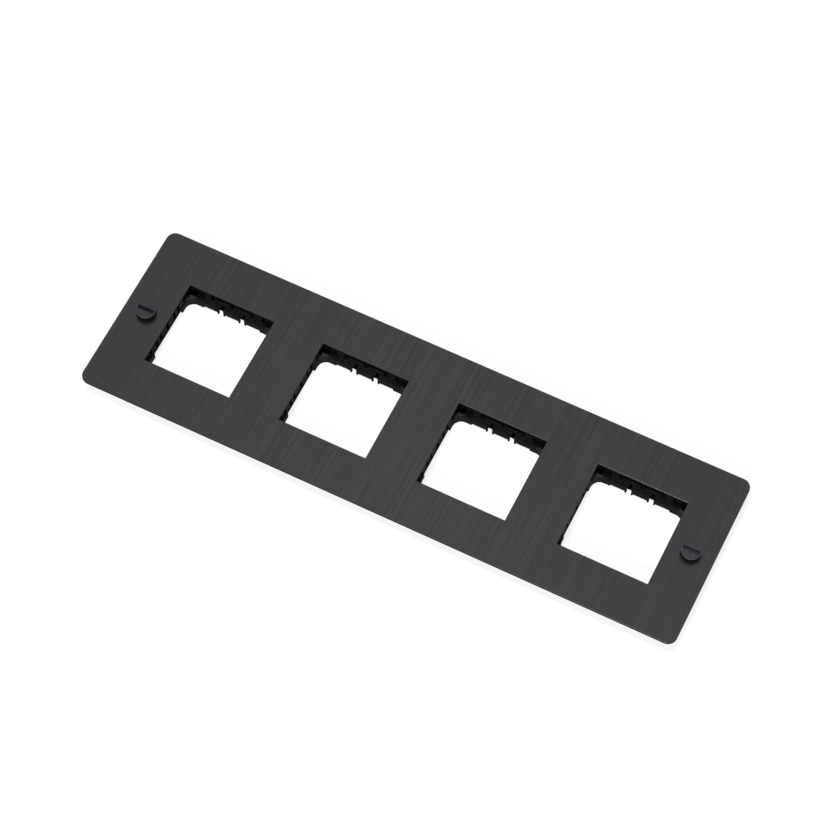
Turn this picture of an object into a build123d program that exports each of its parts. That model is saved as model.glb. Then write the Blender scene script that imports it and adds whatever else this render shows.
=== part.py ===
from build123d import *
import os

# Four-gang wall plate for 45 mm modules, in millimetres.
# +X runs along the plate, +Y across it and +Z out of its front. The origin is
# the middle of the plate's back face, which lies on the wall.

# Plate
gang_count = 4
window_size = 45.0
window_spacing = 26.0
end_strip = 22.5
plate_height = 90.0
plate_thickness = 1.5
plate_corner_radius = 4.5
plate_edge_chamfer = 0.2

# Coin-slot screws
screw_inset = 11.3
head_diameter = 9.6
head_height = 3.2
head_chamfer = 0.2
head_clearance = 0.1
coin_slot_width = 2.0
coin_slot_depth = 1.2
coin_slot_rim = 0.75
neck_diameter = 5.0
neck_clearance = 0.05
thread_diameter = 4.0
thread_tip_chamfer = 0.6
screw_reach = 8.4

# Retaining clip that snaps into the screw's groove
clip_thickness = 0.7
clip_diameter = 8.0
clip_gap = 0.3
clip_play = 0.05
clip_mouth = 2.7
groove_diameter = 3.2

# Weld studs and their nuts
stud_diameter = 3.0
stud_length = 6.5
stud_strip = 8.5
stud_hole_clearance = 0.2
nut_width = 5.5
nut_height = 2.4
nut_chamfer = 0.25
nut_thread_clearance = 0.02

# Module frame: flange and walls
flange_thickness = 1.8
flange_margin = 4.5
flange_side_width = 2.6
flange_corner_radius = 3.0
wall_thickness = 1.4
wall_depth = 9.0
long_wall_setback = 3.0
side_wall_setback = 2.0
gusset_thickness = 1.2
gusset_reach = 2.6
gusset_depth = 6.0
gusset_place = 14.0

# Module frame: the pads that guide a module, and the gaps between them
long_pad_setback = 0.35
side_pad_setback = 0.15
pad_gap = 1.9
wide_pad_gap_place = 10.5
narrow_pad_gap_place = 16.25
side_slot_place = 6.5
side_slot_width = 1.6
wide_pad_top = 1.8
pad_bottom = 5.8
side_pad_bottom = 5.0
corner_tab_width = 1.7
corner_tab_bottom = 2.8
corner_bar_top = 1.7
corner_bar_bottom = 2.9
corner_bar_inset = 2.4

# Module frame: the skirt, and the channel between it and each long wall
skirt_top = 6.6
skirt_reach = 2.0
skirt_thickness = 1.05
skirt_corner_radius = 4.5
skirt_depth = 11.6
side_cutout_depth = 7.9
side_cutout_width = 27.0
channel_depth = 8.0
channel_rib_top = 6.9
channel_rib_width = 2.0

# Module frame: catch notches in the skirt, and the pockets cut from its lower edge
catch_place = 5.63
catch_notch_width = 2.4
catch_block_width = 1.9
catch_block_setback = 0.5
prong_width = 0.8
skirt_pocket_end = 15.0
skirt_pocket_depth = 10.1

# Derived sizes and places
window_half = window_size / 2
gang_pitch = window_size + window_spacing
plate_length = gang_pitch * gang_count - window_spacing + 2 * end_strip
gang_places = [(i - (gang_count - 1) / 2) * gang_pitch for i in range(gang_count)]
screw_place = plate_length / 2 - screw_inset
stud_offset = window_half + stud_strip
head_base = plate_thickness + head_clearance
head_top = head_base + head_height
groove_top = clip_play - clip_gap
groove_bottom = -clip_gap - clip_thickness - clip_play
nut_top = -flange_thickness
long_inner = window_half + long_wall_setback
side_inner = window_half + side_wall_setback
long_outer = long_inner + wall_thickness
side_outer = side_inner + wall_thickness
long_pad_face = window_half + long_pad_setback
side_pad_face = window_half + side_pad_setback
flange_half_x = side_outer + flange_side_width
flange_half_y = stud_offset + flange_margin
stud_hole_radius = stud_diameter / 2 + stud_hole_clearance
skirt_face = window_half - skirt_reach
skirt_back = skirt_face + skirt_thickness

os.makedirs("parts", exist_ok=True)


def finish(part, label):
    """Label one piece and write it to its own file."""
    part.label = label
    export_step(part, f"parts/{label}.step")


# Face plate: a sheet with a square window for each gang and two screw holes
with BuildPart() as face_plate:
    with BuildSketch():
        RectangleRounded(plate_length, plate_height, plate_corner_radius)
        with Locations(*[(x, 0) for x in gang_places]):
            Rectangle(window_size, window_size, mode=Mode.SUBTRACT)
        with Locations((-screw_place, 0), (screw_place, 0)):
            Circle(neck_diameter / 2 + neck_clearance, mode=Mode.SUBTRACT)
    extrude(amount=plate_thickness)
    front = face_plate.faces().sort_by(Axis.Z)[-1]
    front_edges = front.edges().filter_by(GeomType.LINE) + front.outer_wire().edges().filter_by(GeomType.CIRCLE)
    chamfer(front_edges, length=plate_edge_chamfer)
finish(face_plate.part, "face_plate")


def make_screw(x, label):
    """Turn a screw about its own axis, then sink the coin slot along the plate."""
    with BuildPart() as screw:
        with BuildSketch(Plane.XZ):
            with BuildLine():
                Polyline(
                    (x, -screw_reach),
                    (x + thread_diameter / 2 - thread_tip_chamfer, -screw_reach),
                    (x + thread_diameter / 2, thread_tip_chamfer - screw_reach),
                    (x + thread_diameter / 2, groove_bottom),
                    (x + groove_diameter / 2, groove_bottom),
                    (x + groove_diameter / 2, groove_top),
                    (x + neck_diameter / 2, groove_top),
                    (x + neck_diameter / 2, head_base),
                    (x + head_diameter / 2, head_base),
                    (x + head_diameter / 2, head_top - head_chamfer),
                    (x + head_diameter / 2 - head_chamfer, head_top),
                    (x, head_top),
                    close=True,
                )
            make_face()
        revolve(axis=Axis((x, 0, 0), (0, 0, 1)))
        with BuildSketch(Plane.XY.offset(head_top - coin_slot_depth)):
            with Locations((x, 0)):
                Rectangle(head_diameter - 2 * coin_slot_rim, coin_slot_width)
        extrude(amount=coin_slot_depth, mode=Mode.SUBTRACT)
    finish(screw.part, label)


def make_clip(x, label):
    """Stamp a clip: a washer whose open mouth is narrower than its bore."""
    bore_radius = groove_diameter / 2 + clip_play
    with BuildPart() as clip:
        with BuildSketch(Plane.XY.offset(-clip_gap - clip_thickness)):
            with Locations((x, 0)):
                Circle(clip_diameter / 2)
                Circle(bore_radius, mode=Mode.SUBTRACT)
            with Locations((x, -clip_diameter / 4)):
                Rectangle(clip_mouth, clip_diameter / 2, mode=Mode.SUBTRACT)
        extrude(amount=clip_thickness)
    finish(clip.part, label)


for side, x in (("left", -screw_place), ("right", screw_place)):
    make_screw(x, f"{side}_screw")
    make_clip(x, f"{side}_screw_clip")


def make_stud():
    """Weld stud: a plain rod that is fused to the plate's back."""
    with BuildPart() as stud:
        with BuildSketch(Plane.XY.offset(-stud_length)):
            Circle(stud_diameter / 2)
        extrude(amount=stud_length)
    return stud.part


def make_nut():
    """Hexagon nut against the frame's flange."""
    with BuildPart() as nut:
        with BuildSketch(Plane.XY.offset(nut_top - nut_height)):
            RegularPolygon(nut_width / 2, 6, major_radius=False)
        extrude(amount=nut_height)
        chamfer(nut.faces().sort_by(Axis.Z)[0].edges(), length=nut_chamfer)
        with BuildSketch(Plane.XY.offset(nut_top - nut_height)):
            Circle(stud_diameter / 2 + nut_thread_clearance)
        extrude(amount=nut_height, mode=Mode.SUBTRACT)
    return nut.part


def mirrored(near, far, face, back):
    """Centres and size of one block copied to both halves of the two facing walls."""
    along = (near + far) / 2
    across = (face + back) / 2
    centres = [(sx * along, sy * across) for sx in (-1, 1) for sy in (-1, 1)]
    return centres, far - near, back - face


def long_wall_blocks(near, far, face, back, top, bottom, mode=Mode.ADD):
    """Add or cut blocks on both long walls, from one depth to another."""
    centres, length, depth = mirrored(near, far, face, back)
    with BuildSketch(Plane.XY.offset(-bottom)) as blocks:
        with Locations(*centres):
            Rectangle(length, depth)
    extrude(blocks.sketch, amount=bottom - top, mode=mode)


def side_wall_blocks(near, far, face, back, top, bottom):
    """Add blocks on both side walls: the long walls' blocks turned a quarter."""
    centres, length, depth = mirrored(near, far, face, back)
    with BuildSketch(Plane.XY.offset(-bottom)) as blocks:
        with Locations(*[(across, along) for along, across in centres]):
            Rectangle(depth, length)
    extrude(blocks.sketch, amount=bottom - top)


def skirt_opening():
    """Sketch the opening inside the skirt."""
    RectangleRounded(2 * side_pad_face, 2 * skirt_face, skirt_corner_radius, mode=Mode.SUBTRACT)


def make_frame():
    """Mould a frame at the origin in layers, from the flange behind the plate down to the skirt."""
    half_gap = pad_gap / 2
    half_slot = side_slot_width / 2
    tab_near = narrow_pad_gap_place + half_gap
    tab_far = tab_near + corner_tab_width
    bar_near = window_half - corner_bar_inset

    # Each pad on a long wall: near end, far end, top and bottom
    long_pads = [
        (half_gap, wide_pad_gap_place - half_gap, wide_pad_top, pad_bottom),
        (wide_pad_gap_place + half_gap, narrow_pad_gap_place - half_gap, 0, pad_bottom),
        (tab_near, tab_far, 0, corner_tab_bottom),
        (bar_near, side_inner, corner_bar_top, corner_bar_bottom),
    ]
    # Each pad on a side wall
    side_pads = [
        (half_gap, side_slot_place - half_slot, 0, side_pad_bottom),
        (side_slot_place + half_slot, wide_pad_gap_place - half_gap, 0, side_pad_bottom),
        (wide_pad_gap_place + half_gap, narrow_pad_gap_place - half_gap, 0, side_pad_bottom),
        (tab_near, tab_far, 0, corner_tab_bottom),
        (bar_near, long_inner, corner_bar_top, corner_bar_bottom),
    ]

    with BuildPart() as frame:
        # Flange, with the two stud holes
        with BuildSketch(Plane.XY.offset(-flange_thickness)):
            RectangleRounded(2 * flange_half_x, 2 * flange_half_y, flange_corner_radius)
            Rectangle(2 * side_inner, 2 * long_inner, mode=Mode.SUBTRACT)
            with Locations((0, -stud_offset), (0, stud_offset)):
                Circle(stud_hole_radius, mode=Mode.SUBTRACT)
        extrude(amount=flange_thickness)

        # Walls, and the floor of the channel inside them
        with BuildSketch(Plane.XY.offset(-wall_depth)):
            Rectangle(2 * side_outer, 2 * long_outer)
            Rectangle(2 * side_inner, 2 * long_inner, mode=Mode.SUBTRACT)
        extrude(amount=wall_depth)
        with BuildSketch(Plane.XY.offset(-wall_depth)):
            Rectangle(2 * side_inner, 2 * long_inner)
            skirt_opening()
        extrude(amount=wall_depth - channel_depth)

        # Skirt round the opening, and the ledge that joins it to each side wall
        with BuildSketch(Plane.XY.offset(-skirt_depth)):
            Rectangle(2 * (side_pad_face + skirt_thickness), 2 * skirt_back)
            skirt_opening()
        extrude(amount=skirt_depth - skirt_top)
        side_wall_blocks(0, skirt_pocket_end, side_pad_face, side_inner, skirt_top, side_cutout_depth)

        # Gussets between the flange and the long walls
        gusset_near = gusset_place - gusset_thickness / 2
        gusset_far = gusset_place + gusset_thickness / 2
        long_wall_blocks(gusset_near, gusset_far, long_inner, long_outer + gusset_reach, 0, gusset_depth)

        # Pads
        for near, far, top, bottom in long_pads:
            long_wall_blocks(near, far, long_pad_face, long_inner, top, bottom)
        for near, far, top, bottom in side_pads:
            side_wall_blocks(near, far, side_pad_face, side_inner, top, bottom)

        # Ribs across the channel under the pads' gaps, and a block behind each catch notch
        half_rib = channel_rib_width / 2
        long_wall_blocks(0, half_rib, skirt_back, long_inner, channel_rib_top, channel_depth)
        long_wall_blocks(wide_pad_gap_place - half_rib, wide_pad_gap_place + half_rib,
                         skirt_back, long_inner, channel_rib_top, channel_depth)
        block_near = catch_place - catch_block_width / 2
        block_far = catch_place + catch_block_width / 2
        long_wall_blocks(block_near, block_far, window_half + catch_block_setback, long_inner,
                         pad_bottom, channel_depth)

        # Catch notches through the skirt
        notch_near = catch_place - catch_notch_width / 2
        notch_far = catch_place + catch_notch_width / 2
        long_wall_blocks(notch_near, notch_far, skirt_face, skirt_back, skirt_top, skirt_depth, Mode.SUBTRACT)

        # Pockets in the skirt's lower edge, which leave a prong on each side of a notch
        for near, far in ((0, notch_near - prong_width), (notch_far + prong_width, skirt_pocket_end)):
            long_wall_blocks(near, far, skirt_face, skirt_back, skirt_pocket_depth, skirt_depth, Mode.SUBTRACT)

        # Cut-out under the middle of each side wall
        with BuildSketch(Plane.XY.offset(-skirt_depth)):
            Rectangle(2 * side_outer, side_cutout_width)
        extrude(amount=skirt_depth - side_cutout_depth, mode=Mode.SUBTRACT)
    return frame.part


# One frame, stud and nut are made once and placed at every gang
frame_part = make_frame()
stud_part = make_stud()
nut_part = make_nut()
for gang, x in enumerate(gang_places, start=1):
    finish(frame_part.moved(Location((x, 0, 0))), f"module_frame_{gang}")
    for edge, y in (("lower", -stud_offset), ("upper", stud_offset)):
        finish(stud_part.moved(Location((x, y, 0))), f"{edge}_stud_{gang}")
        finish(nut_part.moved(Location((x, y, 0))), f"{edge}_nut_{gang}")
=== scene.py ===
# %% [markdown]
# # A four-gang wall plate
# A long sheet of dark brushed metal covers a wall box. Four square windows hold one black
# moulded frame each, and a coin-slot screw stands at either end. The CAD model is loaded
# first, and it fixes every size and place. What is left to make here is how the plate looks:
# its brushed face, its bare cut edges, the grain of the mouldings and the threads.

import bpy
import numpy as np
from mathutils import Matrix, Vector


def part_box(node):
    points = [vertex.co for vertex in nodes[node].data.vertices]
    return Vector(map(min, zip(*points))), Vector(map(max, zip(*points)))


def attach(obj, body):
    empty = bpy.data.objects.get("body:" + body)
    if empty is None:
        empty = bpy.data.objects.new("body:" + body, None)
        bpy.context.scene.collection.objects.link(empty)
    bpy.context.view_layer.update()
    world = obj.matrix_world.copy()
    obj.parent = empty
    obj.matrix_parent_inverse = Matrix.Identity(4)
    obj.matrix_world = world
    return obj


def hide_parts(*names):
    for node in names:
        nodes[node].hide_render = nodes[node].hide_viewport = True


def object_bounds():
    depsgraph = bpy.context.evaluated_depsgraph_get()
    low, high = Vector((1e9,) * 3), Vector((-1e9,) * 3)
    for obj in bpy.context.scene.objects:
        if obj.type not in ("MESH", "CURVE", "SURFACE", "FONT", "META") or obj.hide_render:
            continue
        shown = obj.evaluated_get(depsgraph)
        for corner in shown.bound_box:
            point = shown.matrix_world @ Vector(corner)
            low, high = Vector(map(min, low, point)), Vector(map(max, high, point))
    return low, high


MM = 0.001


def in_mm(box):
    """A box's two corners in mm, rounded for printing."""
    return [[round(value / MM, 2) for value in corner] for corner in box]


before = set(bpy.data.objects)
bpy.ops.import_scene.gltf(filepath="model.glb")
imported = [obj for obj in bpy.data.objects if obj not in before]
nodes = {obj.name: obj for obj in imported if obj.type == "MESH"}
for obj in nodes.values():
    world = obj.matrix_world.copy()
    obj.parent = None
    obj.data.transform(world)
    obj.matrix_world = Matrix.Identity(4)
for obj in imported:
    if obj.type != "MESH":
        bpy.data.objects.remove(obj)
cad_box = [list(corner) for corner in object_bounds()]
print("nodes:", len(nodes), "box in mm:", in_mm(cad_box))

# %% [markdown]
# ## The camera
# The photograph looks down on the plate from its front right. Straight edges that run away
# from the lens draw together there, and how fast they do gives the distance. A long lens far
# from the plate keeps its two ends nearly the same size, as in the photograph.

# %% Place the camera
CAMERA_PLACE = Vector((261.54, -519.72, 1139.5)) * MM
CAMERA_TARGET = Vector((0.75, 6.24, 1.5)) * MM
CAMERA_LENS = 118.71

camera_data = bpy.data.cameras.new("camera")
camera_data.lens = CAMERA_LENS
camera_data.sensor_width = 36
camera = bpy.data.objects.new("camera", camera_data)
camera.location = CAMERA_PLACE
camera.rotation_euler = (CAMERA_TARGET - CAMERA_PLACE).to_track_quat("-Z", "Y").to_euler()
bpy.context.scene.collection.objects.link(camera)
bpy.context.scene.camera = camera
print("camera distance in m:", round((CAMERA_TARGET - CAMERA_PLACE).length, 3))

# %% [markdown]
# ## Small helpers for materials
# A material is a graph of nodes. A small class keeps each graph short: it adds nodes, joins
# their sockets, and does the sums and masks that the finishes need. A mask is a value that is
# 1 in one region and 0 elsewhere. Another helper starts a material with its Principled shader.
# Noise seldom leaves the middle of its range, so most finishes spread only that part of it.


# %% Helpers for nodes
class Graph:
    """A node tree with short calls: add a node, set its values and join it to others."""

    def __init__(self, tree):
        self.tree = tree
        self.tree.nodes.clear()

    def add(self, kind, _options=None, **inputs):
        """Add a node. Options are its own settings, and inputs are values or sockets."""
        node = self.tree.nodes.new(kind)
        for name, value in (_options or {}).items():
            setattr(node, name, value)
        for name, value in inputs.items():
            self.set(node, name.replace("_", " "), value)
        return node

    def set(self, node, name, value):
        """Give an input a value, or join it to another node's output."""
        socket = node.inputs[int(name)] if name.isdigit() else node.inputs[name]
        if isinstance(value, bpy.types.NodeSocket):
            self.tree.links.new(value, socket)
        else:
            socket.default_value = value

    def math(self, operation, a, b=None, clamp=False):
        """A Math node on one or two values or sockets."""
        node = self.add("ShaderNodeMath", {"operation": operation, "use_clamp": clamp})
        self.set(node, "0", a)
        if b is not None:
            self.set(node, "1", b)
        return node.outputs[0]

    def mix(self, factor, a, b, blend="MIX"):
        """Blend two colours by a factor."""
        node = self.add("ShaderNodeMix", {"data_type": "RGBA", "blend_type": blend})
        for index, value in ((0, factor), (6, a), (7, b)):
            self.set(node, str(index), value)
        return node.outputs[2]

    def both(self, *masks):
        """The product of masks: 1 only where every one of them is 1."""
        product, *others = masks
        for mask in others:
            product = self.math("MULTIPLY", product, mask)
        return product

    def either(self, *masks):
        """The largest of masks: 1 where any of them is 1."""
        largest, *others = masks
        for mask in others:
            largest = self.math("MAXIMUM", largest, mask)
        return largest

    def over(self, value, limit):
        """1 where a value is greater than a limit."""
        return self.math("GREATER_THAN", value, limit)

    def under(self, value, limit):
        """1 where a value is less than a limit."""
        return self.math("LESS_THAN", value, limit)

    def away(self, value, middle):
        """How far a value lies from a middle, to either side."""
        return self.math("ABSOLUTE", self.math("SUBTRACT", value, middle))

    def reach(self, a, b):
        """The distance from the origin: the root of a squared plus b squared."""
        squares = [self.math("MULTIPLY", side, side) for side in (a, b)]
        return self.math("SQRT", self.math("ADD", *squares))

    def parts(self, vector):
        """X, Y and Z of a vector."""
        node = self.add("ShaderNodeSeparateXYZ", Vector=vector)
        return [node.outputs[axis] for axis in "XYZ"]

    def toned(self, colour, mask, tone):
        """A colour that is multiplied by a tone where the mask is 1."""
        return self.mix(mask, colour, self.mix(1.0, colour, tone, "MULTIPLY"))

    def scaled(self, vector, scale, centre=(0, 0, 0)):
        """Object coordinates moved so that centre is the origin, then scaled per axis."""
        place = tuple(-c * s for c, s in zip(centre, scale))
        node = self.add("ShaderNodeMapping", {"vector_type": "POINT"},
                        Vector=vector, Location=place, Scale=scale)
        return node.outputs[0]

    def noise(self, vector, detail=2.0, roughness=0.5):
        """Noise at the scale that its coordinates already have, from 0 to 1."""
        node = self.add("ShaderNodeTexNoise",
                        Vector=vector, Scale=1.0, Detail=detail, Roughness=roughness)
        return node.outputs[0]

    def spread(self, value, low, high, to_low, to_high):
        """Carry a value's range low to high onto another range, held at its ends."""
        node = self.add("ShaderNodeMapRange", {"clamp": True}, Value=value,
                        From_Min=low, From_Max=high, To_Min=to_low, To_Max=to_high)
        return node.outputs[0]

    def bump(self, shader, height, strength, distance):
        """Tilt the shader's normal by a height field. The distance is in metres."""
        node = self.add("ShaderNodeBump", Strength=strength, Distance=distance, Height=height)
        self.set(shader, "Normal", node.outputs[0])


MOST_NOISE = (0.3, 0.7)


def new_material(name):
    """A material with a Principled shader, and the sockets that most finishes start from."""
    material = bpy.data.materials.new(name)
    material.use_nodes = True
    graph = Graph(material.node_tree)
    shader = graph.add("ShaderNodeBsdfPrincipled")
    output = graph.add("ShaderNodeOutputMaterial")
    graph.set(output, "Surface", shader.outputs[0])
    coordinates = graph.add("ShaderNodeTexCoord")
    return material, graph, shader, coordinates.outputs["Object"], coordinates.outputs["Normal"]


def dress(material, names):
    """Put a material in every slot of the named CAD nodes."""
    for name in names:
        slots = nodes[name].material_slots
        for slot in slots:
            slot.material = material
        if not slots:
            nodes[name].data.materials.append(material)
    print(material.name, "on", len(names), "nodes")


# %% [markdown]
# ## The floor and the white ground
# The photograph has plain white behind the plate. The floor is a pale matt sheet under the
# frames, and rays that come from the camera, or that glance off metal, see it a little
# brighter, so that it reads as white and still holds the soft shadow of the plate.

# %% Make the floor and the world
FLOOR_HALF = 6.0
FLOOR_COLOUR = (0.28, 0.28, 0.28, 1)
FLOOR_LIFT = 0.80
WORLD_LIGHT = 0.15


def seen_directly(graph):
    """1 for rays from the camera and for reflected or transmitted ones, 0 for the others."""
    path = graph.add("ShaderNodeLightPath")
    direct = [path.outputs[f"Is {kind} Ray"] for kind in ("Camera", "Glossy", "Transmission")]
    return graph.either(*direct)


floor_level = cad_box[0][2]
corners = np.array([(-1, -1), (1, -1), (1, 1), (-1, 1)], float) * FLOOR_HALF
floor_points = np.column_stack([corners, np.full(4, floor_level)])
floor_mesh = bpy.data.meshes.new("floor")
floor_mesh.from_pydata(floor_points.tolist(), [], [(0, 1, 2, 3)])
floor = bpy.data.objects.new("floor", floor_mesh)
bpy.context.scene.collection.objects.link(floor)

floor_material = bpy.data.materials.new("floor_white")
floor_material.use_nodes = True
floor_graph = Graph(floor_material.node_tree)
floor_matt = floor_graph.add("ShaderNodeBsdfDiffuse", Color=FLOOR_COLOUR)
floor_lift = floor_graph.math("MULTIPLY", seen_directly(floor_graph), FLOOR_LIFT)
floor_glow = floor_graph.add("ShaderNodeEmission", Strength=floor_lift)
floor_sum = floor_graph.add("ShaderNodeAddShader")
floor_graph.set(floor_sum, "0", floor_matt.outputs[0])
floor_graph.set(floor_sum, "1", floor_glow.outputs[0])
floor_graph.add("ShaderNodeOutputMaterial", Surface=floor_sum.outputs[0])
floor_mesh.materials.append(floor_material)

world = bpy.data.worlds.new("world")
world.use_nodes = True
world_graph = Graph(world.node_tree)
world_strength = world_graph.spread(seen_directly(world_graph), 0, 1, WORLD_LIGHT, 1)
world_light = world_graph.add("ShaderNodeBackground", Color=(1, 1, 1, 1), Strength=world_strength)
world_graph.add("ShaderNodeOutputWorld", Surface=world_light.outputs[0])
bpy.context.scene.world = world
bpy.context.scene.view_settings.view_transform = "Standard"
print("floor at", round(floor_level / MM, 2), "mm")

# %% [markdown]
# ## The lamps
# Three square lamps face the middle of the plate. The key lamp stands steeply over the front
# and lights the plate and the fronts of the pads, while the gaps between them stay dark, made
# black by painted shade in the frames' colour. The low front lamp reaches the pads inside the
# windows. The weak sheen lamp stands opposite the camera, where the brushed metal mirrors it
# broadly and so gets its brighter middle.

# %% Place the lamps
LAMP_WIDTH = 0.5
LAMPS = {
    "key_lamp": ((-0.12, -0.3, 2.2), 28),
    "front_lamp": ((0.25, -1.55, 1.1), 20),
    "sheen_lamp": ((-0.55, 1.06, 2.3), 0.45),
}


def area_lamp(name, place, watts):
    """A square lamp that faces the origin. Its light falls with the square of the distance."""
    data = bpy.data.lights.new(name, "AREA")
    data.size = LAMP_WIDTH
    data.energy = watts
    lamp = bpy.data.objects.new(name, data)
    lamp.location = place
    lamp.rotation_euler = (-Vector(place)).to_track_quat("-Z", "Y").to_euler()
    bpy.context.scene.collection.objects.link(lamp)
    print(name, "at", place, watts, "W")


for lamp_name, (lamp_place, lamp_watts) in LAMPS.items():
    area_lamp(lamp_name, lamp_place, lamp_watts)

# %% [markdown]
# ## Brushed metal of the face plate
# The plate is dark anodised sheet, brushed from edge to edge across its width. Brushing
# leaves long, fine streaks, so noise is stretched along Y: it changes fast along X and slowly
# along Y. The streaks shift the colour by a few percent, the gloss a little more, and give a
# very shallow bump. The cut sides are black, and only the thin chamfer round each edge shows a
# little lighter and warmer. Both are found by how far their normal leans over.

# %% Finish of the face plate
STREAK_FINE = (1900, 22, 1900)
STREAK_BROAD = (700, 9, 700)
CLOUD_SCALE = (38, 38, 38)
FINE_SHARE, BROAD_SHARE, CLOUD_SHARE = 0.45, 0.4, 0.15
STREAK_RANGE = (0.36, 0.64)
STREAK_ROUGHNESS = (0.34, 0.25)
CUT_ROUGHNESS = 0.85
PLATE_DARK = (0.0350, 0.0347, 0.0368, 1)
PLATE_LIGHT = (0.0520, 0.0515, 0.0544, 1)
CUT_METAL = (0.006, 0.006, 0.006, 1)
EDGE_METAL = (0.054, 0.051, 0.047, 1)

plate_metal, g, shader, place, normal = new_material("plate_metal")
fine = g.noise(g.scaled(place, STREAK_FINE), 3.0, 0.6)
broad = g.noise(g.scaled(place, STREAK_BROAD), 2.0, 0.5)
cloud = g.noise(g.scaled(place, CLOUD_SCALE), 3.0, 0.5)
streak = g.math("ADD", g.math("MULTIPLY", fine, FINE_SHARE),
                g.math("MULTIPLY", broad, BROAD_SHARE))
streak = g.math("ADD", streak, g.math("MULTIPLY", cloud, CLOUD_SHARE))
brushed = g.mix(g.spread(streak, *STREAK_RANGE, 0, 1), PLATE_DARK, PLATE_LIGHT)
lean = g.math("ABSOLUTE", g.parts(normal)[2])
chamfer = g.spread(lean, 0.95, 0.8, 0, 1)
cut = g.spread(lean, 0.5, 0.3, 0, 1)
g.set(shader, "Base Color", g.mix(cut, g.mix(chamfer, brushed, EDGE_METAL), CUT_METAL))
streak_rough = g.spread(streak, *STREAK_RANGE, *STREAK_ROUGHNESS)
g.set(shader, "Roughness", g.either(streak_rough, g.math("MULTIPLY", cut, CUT_ROUGHNESS)))
g.set(shader, "Metallic", g.math("SUBTRACT", 1.0, cut))
g.set(shader, "Specular IOR Level", 0.1)
g.bump(shader, fine, 0.12, 0.00004)
dress(plate_metal, ["face_plate"])

# %% [markdown]
# ## Black moulded plastic of the frames
# The mouldings come from a tool whose faces are spark eroded, which leaves a fine matt
# grain. Two noises make it: a grain of about a fifth of a millimetre for the bump, and a
# broad, faint unevenness in the gloss, as where the melt cooled against the tool. Light and
# shade are painted into the colour by a face's place in the frame. Faces behind the pads, in
# the gaps, in the corners and behind each catch notch get painted shade, deep black, and
# reflect less. The channel's floor gets painted light just under the pads, where their shadow
# falls, and painted shade elsewhere, black 1 mm behind their faces. Each rounded corner below
# them gets a painted highlight, with two brighter lines along its arc. The tops of the pads
# under the plate get the plate's painted shadow, and a thin line round the skirt is darker.

# %% Finish of the module frames
GRAIN_SCALE = (5200, 5200, 5200)
FLOW_SCALE = (130, 130, 260)
MOULDED_DARK = (0.0090, 0.0090, 0.0100, 1)
MOULDED_LIGHT = (0.0126, 0.0126, 0.0139, 1)
# The black of the painted shade in the recesses.
SHADE_BLACK = (0.0006, 0.0006, 0.0007, 1)
GANG_PITCH, WHOLE_GANGS = 0.071, 8.0
SIDE_PAD_FACE, LONG_PAD_FACE = 0.02268, 0.02288
SIDE_WALL_FACE, LONG_WALL_FACE = 0.0246, 0.0256
PAD_BOTTOM, CHANNEL_FLOOR, SKIRT_LINE = -0.0059, -0.0081, -0.0088
WIDE_PADS, WIDE_PAD_TOP = 0.0106, -0.00245
CATCH_PLACE, CATCH_HALF, SKIRT_BACK = 0.00563, 0.0008, 0.0216
PAD_END, CORNER, ABOVE_ALL = 0.0153, 0.0199, 0.02
# Where and how strong the painted highlight on the rounded corners is.
ARC_CENTRE, ARC_RADII, ARC_FADE = (0.01815, 0.01605), (0.0055, 0.0066), (0.0001, 0.0004)
# Tones of the painted light and shade on the channel floor.
SHELF_SHADE, UNDER_PADS_LIGHT, TAB_SHADE = 0.72, 2.5, 0.6
ARC_HIGHLIGHT, ARC_LINE_HIGHLIGHT = 2.3, 3.0


def gang_place(g, place):
    """How far a point lies along and across from the middle of its own window, and its height.

    X over the gang pitch is made positive by whole gangs. What is left after whole numbers,
    less a half, times the pitch and without its sign, is the distance along.
    """
    x, y, height = g.parts(place)
    share = g.math("FRACT", g.math("ADD", g.math("DIVIDE", x, GANG_PITCH), WHOLE_GANGS))
    along = g.math("ABSOLUTE", g.math("MULTIPLY", g.math("SUBTRACT", share, 0.5), GANG_PITCH))
    return along, g.math("ABSOLUTE", y), height


def recess_mask(g, along, across, height):
    """Where painted shade goes: 1 on the inner faces behind the pads, and 0 on the pads and the
    skirt.

    The mask ends at the pads' lower end, but in the corners it goes on down to the channel's
    floor. Behind a catch notch it covers the channel, from its floor to the pads.
    """
    past_side, past_long = g.over(along, SIDE_PAD_FACE), g.over(across, LONG_PAD_FACE)
    corner = g.either(g.both(past_long, g.over(along, CORNER)),
                      g.both(past_side, g.over(across, CORNER)))
    behind = g.both(g.either(past_long, past_side), g.over(height, PAD_BOTTOM))
    over_wide = g.both(g.under(along, WIDE_PADS), g.over(height, WIDE_PAD_TOP))
    catch = g.both(g.under(g.away(along, CATCH_PLACE), CATCH_HALF), g.over(across, SKIRT_BACK))
    ceiling = g.math("ADD", g.math("MULTIPLY", corner, ABOVE_ALL), PAD_BOTTOM)
    low = g.both(g.either(corner, catch), g.over(height, CHANNEL_FLOOR), g.under(height, ceiling))
    return g.either(behind, over_wide, low)


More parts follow.
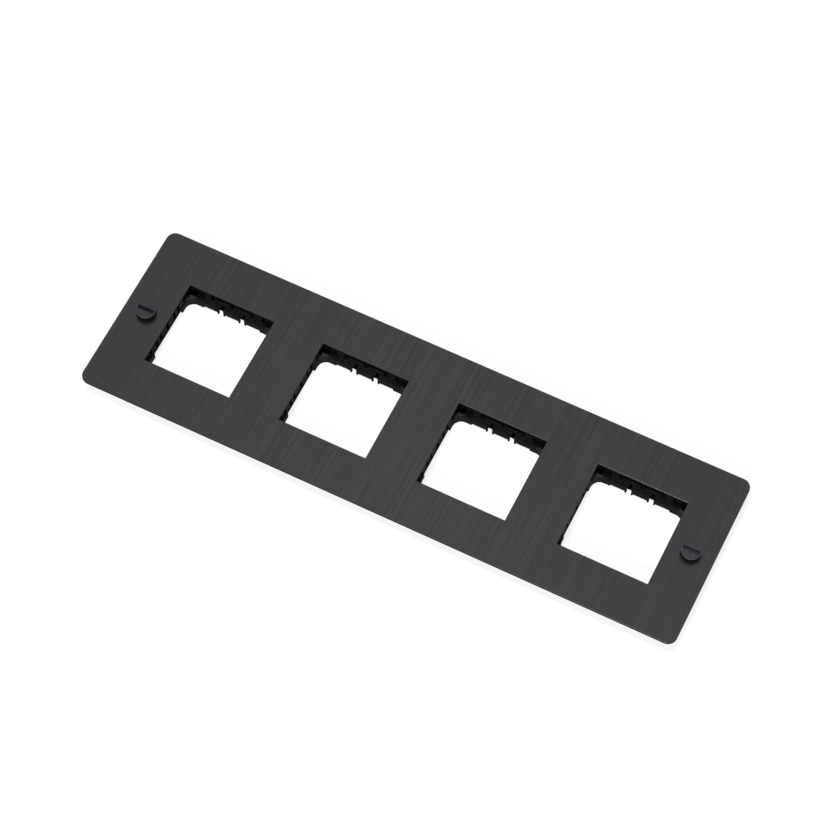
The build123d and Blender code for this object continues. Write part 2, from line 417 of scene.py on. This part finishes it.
def shelf_tone(g, along, across, tab):
    """The channel floor's painted light and shade: painted light under the pads, where their shadow
    falls, painted shade elsewhere, and black 1 mm behind their faces.
    """
    behind_side = g.math("MULTIPLY", g.math("SUBTRACT", along, SIDE_PAD_FACE), 2.0)
    behind_pads = g.either(behind_side, g.math("SUBTRACT", across, LONG_PAD_FACE))
    below_pads = g.both(g.over(behind_pads, 0), g.under(g.math("MINIMUM", along, across), PAD_END))
    tone = g.math("ADD", SHELF_SHADE, g.math("MULTIPLY", below_pads, UNDER_PADS_LIGHT))
    tone = g.math("MULTIPLY", tone, g.spread(behind_pads, 0.0009, 0.0011, 1, 0.04))
    return g.either(tone, g.math("MULTIPLY", tab, TAB_SHADE))


def corner_tone(g, along, across):
    """A rounded corner's painted highlight, raised further on lines at set radii from the middle of
    its arc.
    """
    radius = g.reach(g.math("SUBTRACT", along, ARC_CENTRE[0]),
                     g.math("SUBTRACT", across, ARC_CENTRE[1]))
    lines = [g.spread(g.away(radius, line), *ARC_FADE, 1, 0) for line in ARC_RADII]
    return g.math("ADD", ARC_HIGHLIGHT, g.math("MULTIPLY", g.either(*lines), ARC_LINE_HIGHLIGHT))


frame_plastic, g, shader, place, normal = new_material("frame_plastic")
grain = g.noise(g.scaled(place, GRAIN_SCALE), 2.0, 0.6)
flow = g.noise(g.scaled(place, FLOW_SCALE), 3.0, 0.5)
moulded = g.mix(flow, MOULDED_DARK, MOULDED_LIGHT)

along, across, height = gang_place(g, place)
inside = g.both(g.under(along, SIDE_WALL_FACE), g.under(across, LONG_WALL_FACE))
wall_place = g.math("MINIMUM", along, across)
tab = g.both(g.over(wall_place, PAD_END), g.under(wall_place, CORNER))
facing_up = g.over(g.parts(normal)[2], 0.5)
shelf = g.both(facing_up, g.under(g.away(height, CHANNEL_FLOOR), 0.0006), inside)
# Where the rounded corners get their painted highlight.
rounded = g.both(g.spread(along, 0.0180, 0.0205, 0, 1), g.spread(across, 0.0160, 0.0175, 0, 1),
                 g.under(across, 0.0222), g.under(height, PAD_BOTTOM), inside)
# Painted shadow of the plate over the tops of the pads.
plate_shadow = g.spread(height, -0.0024, -0.0016, 1.0, 0.45)
skirt_line = g.spread(g.away(height, SKIRT_LINE), 0.0001, 0.0003, 0.7, 1)
# Painted light and shade, laid over the moulded colour.
moulded = g.toned(moulded, shelf, shelf_tone(g, along, across, tab))
moulded = g.toned(moulded, inside, plate_shadow)
moulded = g.toned(moulded, rounded, corner_tone(g, along, across))
moulded = g.toned(moulded, inside, skirt_line)
less_shade_at_tabs = g.math("SUBTRACT", 1.0, g.math("MULTIPLY", tab, 0.5))
# Painted shade: the recesses are coloured deep black and reflect less, less so at the tabs.
painted_shade = g.both(recess_mask(g, along, across, height), inside, less_shade_at_tabs)
g.set(shader, "Base Color", g.mix(painted_shade, moulded, SHADE_BLACK))
g.set(shader, "Roughness", g.spread(flow, *MOST_NOISE, 0.46, 0.62))
g.set(shader, "Specular IOR Level", g.spread(painted_shade, 0, 1, 0.012, 0.001))
g.bump(shader, grain, 0.25, 0.00005)
dress(frame_plastic, [f"module_frame_{gang}" for gang in range(1, 5)])

# %% [markdown]
# ## Turned metal of the coin-slot screws
# A lathe leaves rings round the screw's axis. The rings come from the distance to that axis,
# through a sine wave, so each screw needs its own centre: a Mapping node moves the object
# coordinates there. The small chamfer round the head is cut last and shines. The walls of the
# slot get painted light, lighter than the top. The slot's floor gets painted shade, deeper on the
# left screw than on the right, and the head's side gets painted shade, nearly black.

# %% Finish of the screws
RING_PITCH = 0.00022
SCREW_MOTTLE = (900, 900, 900)
SCREW_DARK = (0.0335, 0.0335, 0.0385, 1)
SCREW_LIGHT = (0.045, 0.045, 0.051, 1)
SCREW_EDGE = (0.070, 0.069, 0.067, 1)
# Painted light on the slot's walls.
SLOT_WALL_LIGHT = (0.10, 0.10, 0.105, 1)
# Painted shade on the head's side.
HEAD_SIDE_SHADE = (0.015, 0.015, 0.016, 1)
# Painted shade on each slot's floor, deeper on the left screw than on the right.
SLOT_FLOOR_SHADE = {"left_screw": 0.36, "right_screw": 0.70}
TOP_SKIN, SLOT_SHADE = 0.0001, 0.0009
SLOT_REACH, SIDE_RADIUS = (0.0043, 0.0042), 0.0046
EXTRA_ROUGH = 0.3


def screw_finish(name):
    """Rings by distance to the screw's own axis, and masks for its chamfer, slot and side, which
    carry painted light on the slot's walls and painted shade on its floor and the side.
    """
    low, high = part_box(name)
    material, g, shader, place, normal = new_material(f"{name}_metal")
    x, y, _ = g.parts(g.scaled(place, (1, 1, 1), ((low.x + high.x) / 2, 0, 0)))
    radius = g.reach(x, y)
    height = g.parts(place)[2]
    lean = g.parts(normal)[2]

    rings = g.math("SINE", g.math("MULTIPLY", radius, 2 * np.pi / RING_PITCH))
    mottle = g.noise(g.scaled(place, SCREW_MOTTLE), 3.0, 0.6)
    turning = g.math("ADD", g.math("MULTIPLY", rings, 0.12), mottle)
    colour = g.mix(g.spread(turning, 0.25, 0.75, 0, 1), SCREW_DARK, SCREW_LIGHT)

    chamfer = g.both(g.spread(lean, 0.4, 0.6, 0, 1), g.spread(lean, 0.95, 0.85, 0, 1))
    slot = g.both(g.spread(height, high.z - SLOT_SHADE, high.z - TOP_SKIN, 1, 0),
                  g.spread(radius, *SLOT_REACH, 0, 1))
    slot_wall, slot_floor = g.both(g.under(lean, 0.5), slot), g.both(slot, g.over(lean, 0.5))
    side = g.both(g.under(g.math("ABSOLUTE", lean), 0.3), g.over(radius, SIDE_RADIUS))
    tone = SLOT_FLOOR_SHADE[name]
    # Painted light on the slot's walls.
    colour = g.mix(slot_wall, colour, SLOT_WALL_LIGHT)
    # Painted shade on the head's side.
    colour = g.mix(side, colour, HEAD_SIDE_SHADE)
    # Painted shade on the slot's floor, a tone for each screw.
    colour = g.mix(slot_floor, colour, (tone, tone, tone, 1), "MULTIPLY")
    g.set(shader, "Base Color", g.mix(chamfer, colour, SCREW_EDGE))

    rougher = g.math("MULTIPLY", g.either(chamfer, slot_wall, side), EXTRA_ROUGH)
    g.set(shader, "Roughness", g.math("ADD", g.spread(mottle, *MOST_NOISE, 0.30, 0.38), rougher))
    g.set(shader, "Metallic", 1.0)
    on_top = g.both(g.over(lean, 0.9), g.over(height, high.z - TOP_SKIN))
    g.bump(shader, g.math("MULTIPLY", rings, on_top), 0.1, 0.00003)
    return material


screw_materials = {screw: screw_finish(screw) for screw in SLOT_FLOOR_SHADE}
for screw, material in screw_materials.items():
    dress(material, [screw])

# %% [markdown]
# ## Plain metals behind the plate
# The clips are stamped spring steel, the studs are aluminium and the nuts are plated steel.
# They share one recipe, a bright metal with fine mottled gloss, and differ in their colour
# and in how rough they are.

# %% Finish of the clips, studs and nuts
FASTENERS = [(row, gang) for row in ("lower", "upper") for gang in range(1, 5)]


def plain_metal(name, dark, light, roughness, scale):
    """A metal whose colour and roughness both follow one fine noise."""
    material, g, shader, place, _ = new_material(name)
    mottle = g.noise(g.scaled(place, scale), 4.0, 0.6)
    share = g.spread(mottle, *MOST_NOISE, 0, 1)
    g.set(shader, "Base Color", g.mix(share, (*dark, 1), (*light, 1)))
    g.set(shader, "Roughness", g.spread(mottle, *MOST_NOISE, *roughness))
    g.set(shader, "Metallic", 1.0)
    g.bump(shader, mottle, 0.15, 0.00003)
    return material


clip_steel = plain_metal("clip_steel", (0.30, 0.30, 0.31), (0.42, 0.42, 0.43),
                         (0.30, 0.42), (700, 2600, 700))
stud_metal = plain_metal("stud_metal", (0.52, 0.52, 0.53), (0.64, 0.64, 0.65),
                         (0.34, 0.46), (1500, 1500, 1500))
nut_metal = plain_metal("nut_metal", (0.46, 0.45, 0.43), (0.60, 0.59, 0.57),
                        (0.26, 0.40), (1200, 1200, 1200))
dress(clip_steel, ["left_screw_clip", "right_screw_clip"])
dress(stud_metal, [f"{row}_stud_{gang}" for row, gang in FASTENERS])
dress(nut_metal, [f"{row}_nut_{gang}" for row, gang in FASTENERS])

# %% [markdown]
# ## Surfaces made of rings
# Screws, studs and nuts are turned parts. Each one is built here as a stack of rings round one
# axis, from its top to its tip. A ring holds one point for each angle, so it can be a circle,
# a hexagon, the outline of a slot or one level of a thread. Quads join each ring to the next.

# %% Join rings into a closed piece
SHARP_ANGLE = 30


def circle(radius, height, turns):
    """One ring: x is radius times cosine, and y is radius times sine.

    The radius and the height may be one number, or one number for each angle.
    """
    return np.column_stack([radius * np.cos(turns), radius * np.sin(turns), height + 0 * turns])


def ring_piece(name, rings, centre, material, hollow=False):
    """Join a stack of rings, in mm, by quads: angle j of ring i is vertex i times the count plus j.

    A solid stack closes on one point at each end. A hollow one joins its last ring to its first.
    """
    stack = np.array(rings)
    rows, count = stack.shape[:2]
    points = stack.reshape(-1, 3)
    index = np.arange(rows * count).reshape(rows, count)
    upper, lower = (index, np.roll(index, -1, axis=0)) if hollow else (index[:-1], index[1:])
    next_upper, next_lower = np.roll(upper, -1, axis=1), np.roll(lower, -1, axis=1)
    quads = np.stack([upper, lower, next_lower, next_upper], axis=-1)
    faces = quads.reshape(-1, 4).tolist()
    if not hollow:
        for ring, end in ((index[0], len(points)), (index[-1][::-1], len(points) + 1)):
            faces += np.column_stack([np.full(count, end), ring, np.roll(ring, -1)]).tolist()
        points = np.vstack([points, (0, 0, stack[0, 0, 2]), (0, 0, stack[-1, 0, 2])])
    mesh = bpy.data.meshes.new(name)
    mesh.from_pydata(((points + (*centre, 0)) * MM).tolist(), [], faces)
    mesh.shade_smooth()
    mesh.set_sharp_from_angle(angle=np.radians(SHARP_ANGLE))
    mesh.materials.append(material)
    piece = bpy.data.objects.new(name, mesh)
    bpy.context.scene.collection.objects.link(piece)
    return piece


def middle(name):
    """X and Y of a CAD node's middle, and its lowest and highest Z, in mm."""
    low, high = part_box(name)
    return ((low.x + high.x) / 2 / MM, (low.y + high.y) / 2 / MM), low.z / MM, high.z / MM


# %% [markdown]
# ## Threads
# On a thread, going once round moves the same profile along by one pitch. The phase is the
# height divided by the pitch, less the share of a turn, and what is left after the whole
# numbers says where on the tooth a point lies. That makes a right-hand thread.

# %% Levels of a thread
RINGS_TO_A_PITCH = 14
TOOTH_DEPTH = 0.61
FLANK_SLOPE, FLAT_SHARE = 1.3, 0.15


def thread_rings(major, pitch, top, tip, start, chamfer, turns):
    """Rings of an outside thread between two heights.

    The tooth is a triangle wave of the phase, made steeper and cut flat at its crest and root.
    Its depth is 0.61 of the pitch. It runs out at the top on a cone that starts at a given
    radius, and at the tip on a chamfer.
    """
    rings = []
    for height in np.linspace(top, tip, round(RINGS_TO_A_PITCH * (top - tip) / pitch) + 1):
        phase = (height / pitch - turns / (2 * np.pi)) % 1.0
        tooth = np.clip(FLANK_SLOPE * abs(2 * phase - 1) - FLAT_SHARE, 0, 1)
        cone = min(start + top - height, major - chamfer + height - tip)
        rings.append(circle(np.minimum(major - TOOTH_DEPTH * pitch * tooth, cone), height, turns))
    return rings


# %% [markdown]
# ## Screws
# Each coin-slot screw is one stack of rings. It starts on the floor of the slot, climbs the
# slot's walls, crosses the head's top and its thin chamfer, and goes down the side. Under the
# head follow the neck, the clip's groove and the M4 thread.

# %% Make the screws
SLOT_HALF = np.array((4.05, 1.0))
SLOT_DEPTH = 1.2
HEAD_RADIUS, HEAD_CHAMFER, HEAD_HEIGHT, HEAD_FOOT = 4.8, 0.2, 3.2, 0.1
NECK_RADIUS, GROOVE_RADIUS = 2.5, 1.6
GROOVE_TOP, GROOVE_BOTTOM = -0.25, -1.05
M4_RADIUS, M4_PITCH, M4_TIP = 2.0, 0.7, 0.6
THREAD_START = GROOVE_RADIUS + 0.05
SCREW_ANGLES, FLOOR_RING = 96, 0.5

# The angle nearest to each corner of the slot is moved onto it, so that the corners are sharp.
screw_turns = np.linspace(0, 2 * np.pi, SCREW_ANGLES, endpoint=False)
slot_corner = np.arctan2(SLOT_HALF[1], SLOT_HALF[0])
for angle in (slot_corner, np.pi - slot_corner, np.pi + slot_corner, 2 * np.pi - slot_corner):
    screw_turns[np.argmin(abs(screw_turns - angle))] = angle


def slot_ring(scale, height):
    """The slot's outline: each angle's ray, cut where it meets the rectangle, times a scale."""
    ray = np.column_stack([np.cos(screw_turns), np.sin(screw_turns)])
    flat = ray / (abs(ray) / SLOT_HALF).max(axis=1)[:, None] * scale
    return np.column_stack([flat, np.full(len(flat), height)])


def make_screw(name):
    """Stack the rings of one screw from the floor of its slot to the tip of its thread."""
    centre, tip, top = middle(name)
    base = top - HEAD_HEIGHT
    slot_end = top - SLOT_DEPTH
    rings = [slot_ring(FLOOR_RING, slot_end), slot_ring(1, slot_end), slot_ring(1, top)]
    outline = [(HEAD_RADIUS - HEAD_CHAMFER, top), (HEAD_RADIUS, top - HEAD_CHAMFER),
               (HEAD_RADIUS, base + HEAD_FOOT), (HEAD_RADIUS - HEAD_FOOT, base),
               (NECK_RADIUS, base), (NECK_RADIUS, GROOVE_TOP),
               (GROOVE_RADIUS, GROOVE_TOP), (GROOVE_RADIUS, GROOVE_BOTTOM)]
    rings += [circle(radius, height, screw_turns) for radius, height in outline]
    rings += thread_rings(M4_RADIUS, M4_PITCH, GROOVE_BOTTOM, tip, THREAD_START, M4_TIP,
                          screw_turns)
    piece = ring_piece(f"{name}_turned", rings, centre, screw_materials[name])
    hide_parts(name)
    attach(piece, name)
    print(piece.name, len(piece.data.polygons), "faces")


for screw in screw_materials:
    make_screw(screw)

# %% [markdown]
# ## Studs and nuts
# The weld studs are plain where they meet the plate and carry an M3 thread below it. A nut is
# a hexagon whose corners are turned away by a cone at both ends, which leaves the curved
# edges that every real nut has.

# %% Make the studs and nuts
STUD_COLLAR = 0.9
M3_RADIUS, M3_PITCH, M3_TIP = 1.5, 0.5, 0.4
NUT_FLAT, NUT_FACE, NUT_CONE = 2.75, 2.6, 0.55
NUT_BORE, BORE_CHAMFER = 1.52, 0.2
STUD_ANGLES, NUT_ANGLES = 40, 72
stud_turns = np.linspace(0, 2 * np.pi, STUD_ANGLES, endpoint=False)
nut_turns = np.linspace(0, 2 * np.pi, NUT_ANGLES, endpoint=False)


def make_stud(name):
    """A plain collar, then the thread down to a chamfered tip."""
    centre, tip, top = middle(name)
    neck = top - STUD_COLLAR
    rings = [circle(M3_RADIUS, top, stud_turns), circle(M3_RADIUS, neck, stud_turns)]
    rings += thread_rings(M3_RADIUS, M3_PITCH, neck, tip, M3_RADIUS, M3_TIP, stud_turns)
    piece = ring_piece(f"{name}_threaded", rings, centre, stud_metal)
    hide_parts(name)
    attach(piece, "plate")


def make_nut(name):
    """A hexagon: the flat's distance over the cosine of the angle from the flat's middle.

    The cones at both ends drop by 0.55 mm for each millimetre beyond the round face.
    """
    centre, bottom, top = middle(name)
    sixth = np.pi / 3
    side = NUT_FLAT / np.cos(nut_turns % sixth - sixth / 2)
    drop = NUT_CONE * (side - NUT_FACE)
    mouth = NUT_BORE + BORE_CHAMFER
    levels = [(mouth, top), (NUT_FACE, top), (side, top - drop), (side, bottom + drop),
              (NUT_FACE, bottom), (mouth, bottom),
              (NUT_BORE, bottom + BORE_CHAMFER), (NUT_BORE, top - BORE_CHAMFER)]
    rings = [circle(radius, height, nut_turns) for radius, height in levels]
    piece = ring_piece(f"{name}_turned", rings, centre, nut_metal, hollow=True)
    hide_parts(name)
    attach(piece, "plate")


for row, gang in FASTENERS:
    make_stud(f"{row}_stud_{gang}")
    make_nut(f"{row}_nut_{gang}")
print(len(FASTENERS), "studs and as many nuts")
